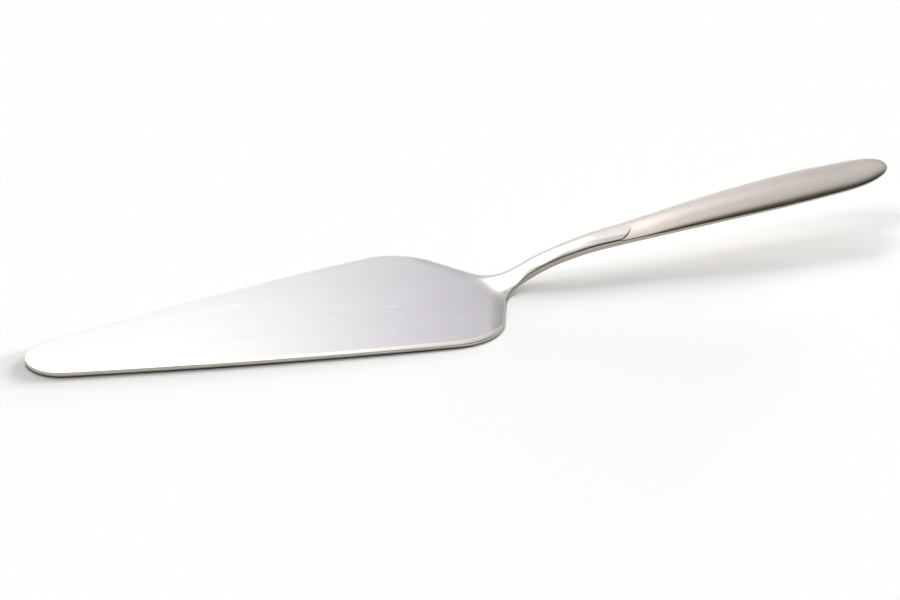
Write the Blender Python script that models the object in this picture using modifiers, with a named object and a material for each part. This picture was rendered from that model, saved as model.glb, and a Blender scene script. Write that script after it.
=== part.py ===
"""Cake server with a cranked neck, in stainless steel.

The blade and the neck are one forging that ends in a pointed tip and a tang.
Two thin shells make the hollow handle. Their mouth fits round the pointed tip,
and a plug of cement inside them holds the tang.

Frame: +X runs from the blade's tip to the end of the handle, +Y is across, +Z is up.
The origin is on the flat underside of the blade, where the server rests on a table.
Every x in this script is counted from the blade's tip. The objects are then moved
back by REST_POINT, so that the origin lies under the middle of the blade.
"""

import math
from collections import namedtuple

import bmesh
import bpy
from mathutils import Vector
from mathutils.geometry import interpolate_bezier

MM = 0.001

# Blade, seen from above
BLADE_LENGTH = 132.2 * MM
BLADE_WIDTH = 62.0 * MM
TIP_RADIUS = 9.8 * MM
FLANK_RADIUS = 1150.0 * MM
CORNER_RADIUS = 17.5 * MM
HEEL_ANGLE = math.radians(30.0)
SHOULDER_WIDTH = 23.2 * MM
ROOT_FILLET_RADIUS = 13.0 * MM

# Blade, seen from the side: the top surface rolls down to a thinner edge, hardly at
# the tip and widely at the heel
SHEET = 1.5 * MM
TIP_ROLL_DROP = 0.05 * MM
HEEL_ROLL_DROP = 0.55 * MM
HEEL_ROLL_WIDTH = 4.4 * MM

# Rounding of the lower edge, all the way round the server
FOOT_ROUND = 0.4 * MM

# Neck, from the crease at the blade's root to the apex of its pointed tip
NECK_WIDTH = 7.1 * MM
NECK_LENGTH = 47.2 * MM
POINT_LENGTH = 6.1 * MM
POINT_BULGE = 0.55 * MM

# Handle, from the pointed tip's apex to its round end
HANDLE_LENGTH = 92.3 * MM
HANDLE_WIDTH = 19.5 * MM
HANDLE_RISE = 21.3 * MM
HANDLE_WALL = 0.6 * MM
SEAM_ABOVE_BAND = 0.05 * MM
HOLLOW_EDGE = 0.15 * MM
HOLLOW_SHORT_OF_END = 5.0 * MM

# Tang and the cement round it, counted from the pointed tip's apex
TANG_LENGTH = 40.0 * MM
TANG_ROOT = 5.0 * MM
TANG_WIDTH = 6.0 * MM
TANG_END_WIDTH = 4.0 * MM
TANG_TAPER = 5.0 * MM
TANG_THICKNESS = 1.0 * MM
CEMENT_START = 19.0 * MM
CEMENT_PAST_TANG = 6.0 * MM

# Fits between pieces, and how far a cutter runs past what it cuts
JOINT_GAP = 0.3 * MM
OVERRUN = 5.0 * MM
CUTTER_HALF_DEPTH = HANDLE_WIDTH + HANDLE_RISE
WELD = 0.001 * MM

# Edges sharper than this stay crisp where the surface shades smooth
CRISP_ANGLE = math.radians(30.0)

# Where the origin lies, as a share of the blade's length from its tip
REST_POINT_SHARE = 0.6

# Side profile, from the crease (0) to the handle's end (1)
# How far the band's lower edge has risen, as a share of HANDLE_RISE
RISE_SHARES = (
    (-0.01, 0.0), (0.009, 0.0009), (0.018, 0.0045), (0.037, 0.024), (0.079, 0.120), (0.115, 0.218),
    (0.150, 0.295), (0.186, 0.355), (0.221, 0.402), (0.292, 0.467), (0.363, 0.521), (0.504, 0.629),
    (0.788, 0.817), (0.92, 0.897), (1.0, 0.988),
)
# Height of the upright side band, as a share of SHEET
BAND_SHARES = (
    (0.0, 0.633), (0.04, 0.90), (0.079, 1.20), (0.150, 1.13), (0.292, 0.87), (0.363, 0.74),
    (0.504, 0.63), (0.788, 0.47), (1.0, 0.43),
)
# Height of the neck's crown over the band, as a share of half the neck's width
NECK_CROWN_SHARES = ((0.0, 0.155), (0.037, 0.21), (0.079, 0.28), (0.243, 0.27), (0.3, 0.27), (0.35, 0.29))
# Height of the handle's crown over the band, as a share of the half width
HANDLE_CROWN_SHARES = (
    (0.26, 0.08), (0.335, 0.11), (0.39, 0.18), (0.434, 0.21), (0.504, 0.225), (0.646, 0.24), (1.0, 0.24)
)
# Depth of the rounded belly under the band, as a share of the half width
BELLY_SHARES = (
    (0.0, 0.0), (0.01, 0.0), (0.03, 0.005), (0.079, 0.08), (0.186, 0.18), (0.335, 0.25),
    (0.504, 0.23), (0.9, 0.18), (1.0, 0.1),
)

# How full the crown's shoulders are: 1 for an even curve, 0.5 for a quarter round
ROLL_SHOULDER = 1.0
NECK_SHOULDER_SHARES = ((0.0, 1.0), (0.163, 1.0), (0.278, 0.53), (0.35, 0.53))
HANDLE_SHOULDER = 0.77

# The blade's rolled edge, from its tip (0) to the crease (1): its width as a share of
# HEEL_ROLL_WIDTH, and the power by which its drop grows
ROLL_WIDTH_SHARES = ((0.0, 0.13), (0.5, 0.45), (0.9, 0.45), (0.955, 1.0), (1.0, 1.0))
ROLL_DROP_GROWTH = 3.0

# The grip's outline from above: its widest place along the handle, and how far its
# curve pulls along each span or, at the end, across the half width
WIDEST_SHARE = 0.66
WAIST_PULL_SHARE = 0.33
SWELL_PULL_SHARE = 0.35
END_PULL_SHARE = 0.62
END_ROUND_SHARE = 0.76

# Points along each stretch of the outline
TIP_STEPS = 12
FLANK_STEPS = 10
CORNER_STEPS = 12
HEEL_STEPS = 4
FILLET_STEPS = 10
GRIP_STEPS = 32
END_STEPS = 14
POINT_STEPS = 8
SEAM_STEPS = 24

# Points round one half of a section
BELLY_STEPS = 5
FOOT_STEPS = 3
CROWN_STEPS = 9
FLAT_STEPS = 3
ROLL_REACH_SHARE = 0.8

CREASE = BLADE_LENGTH
POINT_APEX = CREASE + NECK_LENGTH
POINT_BASE = POINT_APEX - POINT_LENGTH
HANDLE_END = POINT_APEX + HANDLE_LENGTH
TANG_END = POINT_APEX + TANG_LENGTH
REST_POINT = BLADE_LENGTH * REST_POINT_SHARE

STEEL = (0.66, 0.65, 0.64, 1.0)
SATIN_STEEL = (0.58, 0.54, 0.51, 1.0)
CEMENT = (0.40, 0.37, 0.31, 1.0)

# One half of a section: the band's low and high edges at the half width, the top of
# the crown and the bottom of the belly in the middle plane, how far in from the edge
# the top surface takes to level out, and how full its shoulders are
Section = namedtuple("Section", "half_width low high top bottom roll shoulder")


def curve_through(table, share):
    """Value of the smooth curve through a table's points, at one share along it."""
    index = next((i for i in range(len(table) - 1) if share <= table[i + 1][0]), len(table) - 2)

    def slope(i):
        low, high = max(i - 1, 0), min(i + 1, len(table) - 1)
        return (table[high][1] - table[low][1]) / (table[high][0] - table[low][0])

    (x0, y0), (x1, y1) = table[index], table[index + 1]
    span = x1 - x0
    t = min(max((share - x0) / span, 0.0), 1.0)
    rise = y0 * (1 + 2 * t) * (1 - t) ** 2 + y1 * t * t * (3 - 2 * t)
    lean = slope(index) * t * (1 - t) ** 2 + slope(index + 1) * t * t * (t - 1)
    return rise + lean * span


def arc(centre, radius, start, end, steps):
    """Points of an arc. Its angles run from the +Y side towards +X."""
    angles = [start + (end - start) * i / steps for i in range(steps + 1)]
    return [Vector((centre.x + radius * math.sin(a), centre.y + radius * math.cos(a))) for a in angles]


def crown_height(share, shoulder):
    """Height of a crown, from 0 at its edge to 1 where it levels out."""
    level = min(max(share, 0.0), 1.0)
    return (1 - (1 - level) ** 2) ** shoulder


def line(start, end, steps):
    """Points of a straight stretch."""
    return [start.lerp(end, i / steps) for i in range(steps + 1)]


def bezier(points, steps):
    """Points of a cubic curve from its ends and their two handles."""
    return [Vector(p[:2]) for p in interpolate_bezier(*points, steps + 1)]


def half_width_at(outline, x):
    """Half width of an outline at one x."""
    for a, b in zip(outline, outline[1:]):
        if a.x <= x <= b.x:
            return a.lerp(b, (x - a.x) / (b.x - a.x)).y
    return outline[-1].y


def stretch(outline, start, end):
    """The part of an outline between two places, with a point at each."""
    inner = [p for p in outline if start < p.x < end]
    return [
        Vector((start, half_width_at(outline, start))), *inner, Vector((end, half_width_at(outline, end)))
    ]


def blade_outline():
    """Half outline of the blade: tip arc, long flank arc, rear corner arc and heel line.

    The flank arc touches the two smaller arcs from outside, and the heel line touches
    the corner arc and crosses the crease at half the shoulder's width.
    """
    tip = Vector((TIP_RADIUS, 0.0))
    outward = Vector((math.cos(HEEL_ANGLE), math.sin(HEEL_ANGLE)))
    shoulder = Vector((CREASE, SHOULDER_WIDTH / 2))
    corner_y = BLADE_WIDTH / 2 - CORNER_RADIUS
    corner_x = (shoulder.dot(outward) - CORNER_RADIUS - corner_y * outward.y) / outward.x
    corner = Vector((corner_x, corner_y))

    between = corner - tip
    to_tip = FLANK_RADIUS - TIP_RADIUS
    to_corner = FLANK_RADIUS - CORNER_RADIUS
    along = (to_tip ** 2 - to_corner ** 2 + between.length_squared) / (2 * between.length)
    aside = math.sqrt(to_tip ** 2 - along ** 2)
    forward = between.normalized()
    flank = tip + forward * along + Vector((forward.y, -forward.x)) * aside
    tip_turn = math.atan2(tip.x - flank.x, tip.y - flank.y)
    corner_turn = math.atan2(corner.x - flank.x, corner.y - flank.y)
    heel_turn = math.pi / 2 - HEEL_ANGLE

    outline = arc(tip, TIP_RADIUS, -math.pi / 2, tip_turn, TIP_STEPS)
    outline += arc(flank, FLANK_RADIUS, tip_turn, corner_turn, FLANK_STEPS)[1:]
    outline += arc(corner, CORNER_RADIUS, corner_turn, heel_turn, CORNER_STEPS)[1:]
    outline += line(outline[-1], shoulder, HEEL_STEPS)[1:]
    outline[0].y = 0.0
    return outline


def root_outline():
    """Half outline from the crease down the heel line and round the fillet to the neck."""
    shoulder = Vector((CREASE, SHOULDER_WIDTH / 2))
    heel = Vector((math.sin(HEEL_ANGLE), -math.cos(HEEL_ANGLE)))
    meeting = shoulder + heel * ((shoulder.y - NECK_WIDTH / 2) / math.cos(HEEL_ANGLE))
    turn = math.pi / 2 - HEEL_ANGLE
    tangent = ROOT_FILLET_RADIUS * math.tan(turn / 2)
    centre = Vector((meeting.x + tangent, meeting.y + ROOT_FILLET_RADIUS))
    fillet = arc(centre, ROOT_FILLET_RADIUS, math.pi + turn, math.pi, FILLET_STEPS)
    return [shoulder, *fillet]


def grip_outline(start):
    """Half outline of the grip, from the neck's waist past its widest place to its end."""
    widest = Vector((POINT_APEX + HANDLE_LENGTH * WIDEST_SHARE, HANDLE_WIDTH / 2))
    end = Vector((HANDLE_END, 0.0))
    swell = widest.x - start.x
    tail = end.x - widest.x
    body = bezier((
        start,
        start + Vector((swell * WAIST_PULL_SHARE, 0.0)),
        widest - Vector((swell * SWELL_PULL_SHARE, 0.0)),
        widest,
    ), GRIP_STEPS)
    cap = bezier((
        widest,
        widest + Vector((tail * END_PULL_SHARE, 0.0)),
        end + Vector((0.0, widest.y * END_ROUND_SHARE)),
        end,
    ), END_STEPS)
    return body + cap[1:]


def along_profile(x):
    """Share of the way from the crease to the handle's end."""
    return (x - CREASE) / (HANDLE_END - CREASE)


def band_at(x):
    """Lower and upper edge of the upright side band."""
    share = along_profile(x)
    low = HANDLE_RISE * curve_through(RISE_SHARES, share)
    return low, low + SHEET * curve_through(BAND_SHARES, share)


def roll_reach(half_width, roll, steepness):
    """How far across the server a rolled edge reaches, by the outline's fall per length."""
    return min(half_width, roll * math.hypot(1, steepness))


def blade_section(x, half_width, steepness):
    """Flat sheet with a thinner edge."""
    share = x / BLADE_LENGTH
    drop = TIP_ROLL_DROP + (HEEL_ROLL_DROP - TIP_ROLL_DROP) * share ** ROLL_DROP_GROWTH
    roll = HEEL_ROLL_WIDTH * curve_through(ROLL_WIDTH_SHARES, share)
    top = SHEET - drop + drop * crown_height(x / roll, ROLL_SHOULDER)
    reach = roll_reach(half_width, roll, steepness)
    return Section(half_width, 0.0, SHEET - drop, top, 0.0, reach, ROLL_SHOULDER)


def neck_section(x, half_width, steepness):
    """Crowned bar with an upright band and a rounded belly."""
    share = along_profile(x)
    low, high = band_at(x)
    top = high + NECK_WIDTH / 2 * curve_through(NECK_CROWN_SHARES, share)
    bottom = low - half_width * curve_through(BELLY_SHARES, share)
    reach = roll_reach(half_width, HEEL_ROLL_WIDTH, steepness)
    return Section(half_width, low, high, top, bottom, reach, curve_through(NECK_SHOULDER_SHARES, share))


def handle_section(x, half_width):
    """The same bar with the handle's crown."""
    share = along_profile(x)
    low, high = band_at(x)
    top = high + half_width * curve_through(HANDLE_CROWN_SHARES, share)
    bottom = low - half_width * curve_through(BELLY_SHARES, share)
    return Section(half_width, low, high, top, bottom, half_width, HANDLE_SHOULDER)


def inner_section(x, half_width, wall):
    """Section that lies one wall inside the handle's."""
    outer = handle_section(x, half_width)
    top = outer.top - wall
    high = min(outer.high, top - HOLLOW_EDGE)
    low = min(outer.low, high - HOLLOW_EDGE)
    inner = half_width - wall
    return Section(inner, low, high, top, outer.bottom + wall, inner, outer.shoulder)


def half_ring(section):
    """Points (y, z) round half a section, from the bottom's middle to the top's middle."""
    width, low, high, top, bottom, roll, shoulder = section
    foot = min(FOOT_ROUND, width / 2, (high - low) / 2)
    flat = width - foot
    ring = []
    for i in range(BELLY_STEPS + 1):
        y = flat * i / BELLY_STEPS
        out = y / width if width > WELD else 1.0
        ring.append((y, low - (low - bottom) * (1 - out * out)))
    base = ring[-1][1]
    for i in range(1, FOOT_STEPS + 1):
        turn = math.pi / 2 * i / FOOT_STEPS
        ring.append((flat + foot * math.sin(turn), base + foot * (1 - math.cos(turn))))
    reach = min(roll, width * ROLL_REACH_SHARE)
    inward = [reach * (1 - math.cos(math.pi / 2 * i / CROWN_STEPS)) for i in range(CROWN_STEPS + 1)]
    inward += [reach + (width - reach) * i / FLAT_STEPS for i in range(1, FLAT_STEPS + 1)]
    for distance in inward:
        level = crown_height(distance / roll, shoulder) if roll > WELD else 1.0
        ring.append((max(width - distance, 0.0), high + (top - high) * level))
    return ring


def new_object(name, mesh, group):
    """Link a mesh to a collection, moved so that the origin lies under the blade."""
    thing = bpy.data.objects.new(name, mesh)
    thing.location.x = -REST_POINT
    group.objects.link(thing)
    return thing


def mirrored_loft(name, sections, group):
    """Closed body through half sections, mirrored across the middle plane.

    A section of no width closes its end by itself, and any other end gets a cap.
    """
    bm = bmesh.new()
    rows = [[bm.verts.new((x, y, z)) for y, z in half_ring(section)] for x, section in sections]
    for row, following in zip(rows, rows[1:]):
        for i in range(len(row) - 1):
            bm.faces.new((row[i], row[i + 1], following[i + 1], following[i]))
    if sections[0][1].half_width > WELD:
        bm.faces.new(reversed(rows[0]))
    if sections[-1][1].half_width > WELD:
        bm.faces.new(rows[-1])
    bmesh.ops.remove_doubles(bm, verts=bm.verts, dist=WELD)
    mesh = bpy.data.meshes.new(name)
    bm.to_mesh(mesh)
    bm.free()
    body = new_object(name, mesh, group)
    mirror = body.modifiers.new("other_half", "MIRROR")
    mirror.use_axis = (False, True, False)
    mirror.merge_threshold = WELD
    return body


def outline_block(name, outline, half_depth, group, upright=False):
    """Block of a flat outline. An upright one has its outline in the XZ plane."""
    curve = bpy.data.curves.new(name, "CURVE")
    curve.dimensions = "2D"
    curve.fill_mode = "BOTH"
    curve.extrude = half_depth
    spline = curve.splines.new("POLY")
    spline.points.add(len(outline) - 1)
    for point, place in zip(spline.points, outline):
        point.co = (place[0], place[1], 0.0, 1.0)
    spline.use_cyclic_u = True
    drawn = new_object(name + "_outline", curve, group)
    if upright:
        drawn.rotation_euler.x = math.pi / 2
    bpy.context.view_layer.update()
    evaluated = drawn.evaluated_get(bpy.context.evaluated_depsgraph_get())
    mesh = bpy.data.meshes.new_from_object(evaluated)
    bm = bmesh.new()
    bm.from_mesh(mesh)
    bmesh.ops.remove_doubles(bm, verts=bm.verts, dist=WELD)
    bmesh.ops.recalc_face_normals(bm, faces=bm.faces)
    bm.to_mesh(mesh)
    bm.free()
    block = new_object(name, mesh, group)
    block.matrix_world = drawn.matrix_world
    bpy.data.objects.remove(drawn)
    return block


def combine(body, other, operation):
    """Add an exact Boolean modifier."""
    modifier = body.modifiers.new(operation.lower() + "_" + other.name, "BOOLEAN")
    modifier.operation = operation
    modifier.object = other
    modifier.solver = "EXACT"


def pointed_outline(base_half_width, grow):
    """Plan of everything up to the pointed tip, grown outwards by a clearance.

    Each side of the tip is a shallow arc from the neck's side to the middle plane,
    and it bulges by POINT_BULGE over the straight line between the two.
    """
    chord = math.hypot(POINT_LENGTH, base_half_width)
    radius = (chord ** 2 / 4 + POINT_BULGE ** 2) / (2 * POINT_BULGE)
    inset = (radius - POINT_BULGE) / chord
    centre = Vector((
        POINT_BASE + POINT_LENGTH / 2 - base_half_width * inset,
        base_half_width / 2 - POINT_LENGTH * inset,
    ))
    reach = radius + grow
    start, end = math.asin((POINT_BASE - centre.x) / reach), math.acos(-centre.y / reach)
    side = arc(centre, reach, start, end, POINT_STEPS)
    side[-1].y = 0.0
    outer = BLADE_WIDTH / 2 + OVERRUN
    near = [(-OVERRUN, outer), (POINT_BASE, outer)] + [tuple(p) for p in side]
    return near + [(x, -y) for x, y in reversed(near[:-1])]


def seam_outline(offset, far_side):
    """Side view of the block on one side of the handle's seam, which follows the band."""
    start, end = POINT_BASE - OVERRUN, HANDLE_END + OVERRUN
    seam = []
    for i in range(SEAM_STEPS + 1):
        x = start + (end - start) * i / SEAM_STEPS
        seam.append((x, band_at(x)[1] + offset))
    return seam + [(end, far_side), (start, far_side)]


def tang_outline(start, grow):
    """Plan of the tang: a bar with a tapered end."""
    half, end_half = TANG_WIDTH / 2 + grow, TANG_END_WIDTH / 2 + grow
    end = TANG_END + grow
    near = [(start, half), (TANG_END - TANG_TAPER, half), (end, end_half)]
    return near + [(x, -y) for x, y in reversed(near)]


def plain_material(name, colour, roughness, metallic):
    """Principled material of one piece."""
    material = bpy.data.materials.new(name)
    material.use_nodes = True
    shader = material.node_tree.nodes["Principled BSDF"]
    shader.inputs["Base Color"].default_value = colour
    shader.inputs["Roughness"].default_value = roughness
    shader.inputs["Metallic"].default_value = metallic
    return material


def steepness_at(outline, index):
    """How steeply an outline falls or climbs at one of its points."""
    before, after = outline[max(index - 1, 0)], outline[min(index + 1, len(outline) - 1)]
    return abs(after.y - before.y) / (after.x - before.x)


def make_blade_and_neck(root, grip, group, cutters):
    """Forged blade and neck, trimmed to the pointed tip, with the tang behind it."""
    blade = blade_outline()
    path = blade + root[1:] + stretch(grip, root[-1].x, POINT_APEX + OVERRUN)[1:]
    sections = []
    for i, point in enumerate(path):
        section = blade_section if i < len(blade) else neck_section
        sections.append((point.x, section(point.x, point.y, steepness_at(path, i))))
    body = mirrored_loft("blade_and_neck", sections, group)

    base = half_width_at(grip, POINT_BASE)
    trim = outline_block("point_trim", pointed_outline(base, 0.0), CUTTER_HALF_DEPTH, cutters)
    combine(body, trim, "INTERSECT")
    tang = tang_block("tang", POINT_APEX - TANG_ROOT, 0.0, grip, cutters)
    combine(body, tang, "UNION")
    return body


def hollow_middle(grip, x):
    """Height of the middle of the handle's hollow."""
    section = inner_section(x, half_width_at(grip, x), HANDLE_WALL)
    return (section.top + section.bottom) / 2


def tang_block(name, start, grow, grip, cutters):
    """Tang, or the slot that clears it, lying along the middle of the handle's hollow."""
    low, high = hollow_middle(grip, POINT_APEX), hollow_middle(grip, TANG_END)
    lean = math.atan2(high - low, TANG_LENGTH)
    block = outline_block(name, tang_outline(start, grow), TANG_THICKNESS / 2 + grow, cutters)
    block.rotation_euler.y = -lean
    reach = POINT_APEX
    block.location.x = reach - REST_POINT - reach * math.cos(lean)
    block.location.z = low - reach * math.sin(lean)
    return block


def make_handle_shells(grip, group, cutters):
    """Upper and lower shell: the handle's body, split along the band's top and hollowed."""
    solid = stretch(grip, POINT_BASE - OVERRUN, HANDLE_END)
    body = [(point.x, handle_section(point.x, point.y)) for point in solid]
    room = stretch(grip, POINT_BASE - OVERRUN - JOINT_GAP, HANDLE_END - HOLLOW_SHORT_OF_END)
    hollow = mirrored_loft(
        "handle_hollow", [(point.x, inner_section(point.x, point.y, HANDLE_WALL)) for point in room], cutters
    )
    base = half_width_at(grip, POINT_BASE)
    mouth = outline_block("mouth", pointed_outline(base, JOINT_GAP), CUTTER_HALF_DEPTH, cutters)

    sides = (
        ("handle_upper_shell", seam_outline(SEAM_ABOVE_BAND, CUTTER_HALF_DEPTH)),
        ("handle_lower_shell", seam_outline(SEAM_ABOVE_BAND - JOINT_GAP, -CUTTER_HALF_DEPTH)),
    )
    shells = []
    for name, outline in sides:
        shell = mirrored_loft(name, body, group)
        side = outline_block(name + "_side", outline, CUTTER_HALF_DEPTH, cutters, upright=True)
        combine(shell, side, "INTERSECT")
        combine(shell, hollow, "DIFFERENCE")
        combine(shell, mouth, "DIFFERENCE")
        shells.append(shell)
    return shells


def make_cement(grip, group, cutters):
    """Plug of set cement round the tang, a clearance away from the shells and the tang."""
    start, end = POINT_APEX + CEMENT_START, TANG_END + CEMENT_PAST_TANG
    fill = HANDLE_WALL + JOINT_GAP
    plug = mirrored_loft(
        "tang_cement", [(p.x, inner_section(p.x, p.y, fill)) for p in stretch(grip, start, end)], group
    )
    slot = tang_block("tang_slot", start - OVERRUN, JOINT_GAP, grip, cutters)
    combine(plug, slot, "DIFFERENCE")
    return plug


def main():
    for thing in list(bpy.data.objects):
        bpy.data.objects.remove(thing)
    server = bpy.data.collections.new("cake_server")
    cutters = bpy.data.collections.new("cutters")
    bpy.context.scene.collection.children.link(server)
    bpy.context.scene.collection.children.link(cutters)

    root = root_outline()
    grip = grip_outline(root[-1])
    blade = make_blade_and_neck(root, grip, server, cutters)
    upper, lower = make_handle_shells(grip, server, cutters)
    cement = make_cement(grip, server, cutters)

    for cutter in cutters.objects:
        cutter.hide_render = True
        cutter.display_type = "WIRE"
    finishes = (
        (blade, STEEL, 0.25, 1.0),
        (upper, SATIN_STEEL, 0.35, 1.0),
        (lower, SATIN_STEEL, 0.35, 1.0),
        (cement, CEMENT, 0.9, 0.0),
    )
    for piece, colour, roughness, metallic in finishes:
        piece.data.materials.append(plain_material(piece.name + "_finish", colour, roughness, metallic))
        piece.data.shade_smooth()
        piece.data.set_sharp_from_angle(angle=CRISP_ANGLE)


main()
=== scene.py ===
# %% [markdown]
# # A steel cake server on a white table
#
# The real server is a forged blade with a cranked neck. Its neck ends in a pointed
# tip that lies on a hollow handle of two thin shells. Everything is stainless steel,
# so nearly all that the eye reads comes from outlines, soft edges and reflections.
#
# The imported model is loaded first. It says where each piece lies, and the finer
# pieces made here take the places of its nodes.

import math

import bmesh
import bpy
import numpy as np
from mathutils import Matrix, Vector
from mathutils.geometry import interpolate_bezier


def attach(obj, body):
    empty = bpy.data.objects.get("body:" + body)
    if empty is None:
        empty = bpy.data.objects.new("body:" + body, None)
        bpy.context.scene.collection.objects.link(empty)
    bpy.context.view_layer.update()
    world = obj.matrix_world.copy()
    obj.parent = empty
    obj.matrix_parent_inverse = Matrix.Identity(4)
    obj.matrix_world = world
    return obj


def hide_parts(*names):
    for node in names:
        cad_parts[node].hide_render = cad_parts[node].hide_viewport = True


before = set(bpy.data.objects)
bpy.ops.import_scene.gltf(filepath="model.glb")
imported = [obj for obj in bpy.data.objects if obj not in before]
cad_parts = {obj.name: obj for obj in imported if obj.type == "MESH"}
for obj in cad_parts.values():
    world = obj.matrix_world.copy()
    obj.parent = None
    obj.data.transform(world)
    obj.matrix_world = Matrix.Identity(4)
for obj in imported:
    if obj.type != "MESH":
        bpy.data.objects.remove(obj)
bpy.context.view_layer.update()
print("nodes:", ", ".join(sorted(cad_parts)))

# %% [markdown]
# ## Sizes
#
# A maker of cutlery works in millimetres from the blade's tip, so this script does
# too. A finished piece is moved once, at the end, to metres and to the place under
# the blade that the server is measured from.

# %% Sizes in millimetres
BLADE_LENGTH = 132.2
BLADE_WIDTH = 62.0
TIP_RADIUS = 9.8
FLANK_RADIUS = 1150.0
CORNER_RADIUS = 17.5
HEEL_ANGLE = math.radians(30.0)
SHOULDER_WIDTH = 23.2
ROOT_FILLET_RADIUS = 13.0
SHEET = 1.5

NECK_WIDTH = 7.1
NECK_LENGTH = 47.2
POINT_LENGTH = 6.1
HANDLE_LENGTH = 92.3
HANDLE_WIDTH = 19.5
HANDLE_RISE = 21.3
HANDLE_WALL = 0.6

CREASE = BLADE_LENGTH
POINT_APEX = CREASE + NECK_LENGTH
POINT_BASE = POINT_APEX - POINT_LENGTH
HANDLE_END = POINT_APEX + HANDLE_LENGTH
REST_POINT = 0.6 * BLADE_LENGTH

TO_PART = Matrix.Scale(0.001, 4) @ Matrix.Translation((-REST_POINT, 0, 0))
print("server is", round(HANDLE_END, 1), "mm long")

# %% [markdown]
# ## The camera
#
# The photograph was taken from the blade's left, from above, with the camera rolled
# a little. Its heading, pitch and roll come from the blade, whose two sides must
# mirror each other on the table. They were found by fitting the outline to the
# photograph, because a guessed angle never lets all the edges meet.

# %% Camera
HEADING = math.radians(28.134)
PITCH = math.radians(24.490)
ROLL = math.radians(3.0)
CAMERA_PLACE = (-0.17694, -0.40827, 0.20982)

skyward = Vector((0, 0, 1))
ground_right = Vector((math.cos(HEADING), -math.sin(HEADING), 0))
ground_ahead = Vector((math.sin(HEADING), math.cos(HEADING), 0))
ahead = ground_ahead * math.cos(PITCH) - skyward * math.sin(PITCH)
level_up = ground_right.cross(ahead)
right = ground_right * math.cos(ROLL) + level_up * math.sin(ROLL)
up = level_up * math.cos(ROLL) - ground_right * math.sin(ROLL)

camera = bpy.data.objects.new("camera", bpy.data.cameras.new("camera"))
bpy.context.scene.collection.objects.link(camera)
camera.matrix_world = Matrix((right, up, -ahead)).transposed().to_4x4()
camera.location = CAMERA_PLACE
camera.data.lens = 72
camera.data.sensor_width = 36
bpy.context.scene.camera = camera
print("camera looks", [round(v, 3) for v in ahead])

# %% [markdown]
# ## The blade from above
#
# The blade's side is one long, nearly straight arc between the round tip and the
# round rear corner. A straight heel and a fillet lead into the neck. Arcs that touch
# each other give the clean outline that a blanking die cuts, where a curve drawn
# through points would waver.

# %% Outline of the blade
TIP_STEPS, FLANK_STEPS, CORNER_STEPS, HEEL_STEPS, FILLET_STEPS = 48, 90, 48, 20, 36


def arc(centre, radius, start, end, steps):
    """Points of an arc whose angles run from the side towards the handle."""
    turns = np.linspace(start, end, steps + 1)
    return [Vector((centre[0] + radius * math.sin(a), centre[1] + radius * math.cos(a)))
            for a in turns]


def flank_centre(tip, corner):
    """Centre of the long arc that touches the tip's and the corner's arcs."""
    between = corner - tip
    to_tip, to_corner = FLANK_RADIUS - TIP_RADIUS, FLANK_RADIUS - CORNER_RADIUS
    along = (to_tip ** 2 - to_corner ** 2 + between.length_squared) / (2 * between.length)
    aside = math.sqrt(to_tip ** 2 - along ** 2)
    forward = between.normalized()
    return tip + forward * along + Vector((forward.y, -forward.x)) * aside


def blade_outline():
    """Points from the blade's tip to where the neck is straight, along one side."""
    tip = Vector((TIP_RADIUS, 0))
    shoulder = Vector((CREASE, SHOULDER_WIDTH / 2))
    outward = Vector((math.cos(HEEL_ANGLE), math.sin(HEEL_ANGLE)))
    corner_y = BLADE_WIDTH / 2 - CORNER_RADIUS
    corner_x = (shoulder.dot(outward) - CORNER_RADIUS - corner_y * outward.y) / outward.x
    corner = Vector((corner_x, corner_y))
    flank = flank_centre(tip, corner)
    first = math.atan2(tip.x - flank.x, tip.y - flank.y)
    second = math.atan2(corner.x - flank.x, corner.y - flank.y)
    heel_turn = math.pi / 2 - HEEL_ANGLE

    points = arc(tip, TIP_RADIUS, -math.pi / 2, first, TIP_STEPS)
    points += arc(flank, FLANK_RADIUS, first, second, FLANK_STEPS)[1:]
    points += arc(corner, CORNER_RADIUS, second, heel_turn, CORNER_STEPS)[1:]
    points += [points[-1].lerp(shoulder, (i + 1) / HEEL_STEPS) for i in range(HEEL_STEPS)]

    heel = Vector((math.sin(HEEL_ANGLE), -math.cos(HEEL_ANGLE)))
    meeting = shoulder + heel * ((shoulder.y - NECK_WIDTH / 2) / math.cos(HEEL_ANGLE))
    reach = ROOT_FILLET_RADIUS * math.tan(heel_turn / 2)
    centre = meeting + Vector((reach, ROOT_FILLET_RADIUS))
    turned = math.pi + heel_turn
    return points + arc(centre, ROOT_FILLET_RADIUS, turned, math.pi, FILLET_STEPS)


outline = blade_outline()
print(len(outline), "points round half the blade")

# %% [markdown]
# ## The neck and grip from above
#
# The grip swells like a willow leaf out of the slim neck and ends in a round cap.
# Two cubic curves that meet at its widest place give that. All of the outline is
# kept as one list of half widths, because every piece is cut from it.

# %% Outline of the neck and grip
WIDEST_AT = 0.66                     # share of the handle's length
SWELL_PULLS = (0.33, 0.35)           # lengths of the curve's handles, as shares of the swell
CAP_PULLS = (0.62, 0.76)             # the same for the cap, along it and across it
SWELL_STEPS, CAP_STEPS = 320, 80


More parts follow.
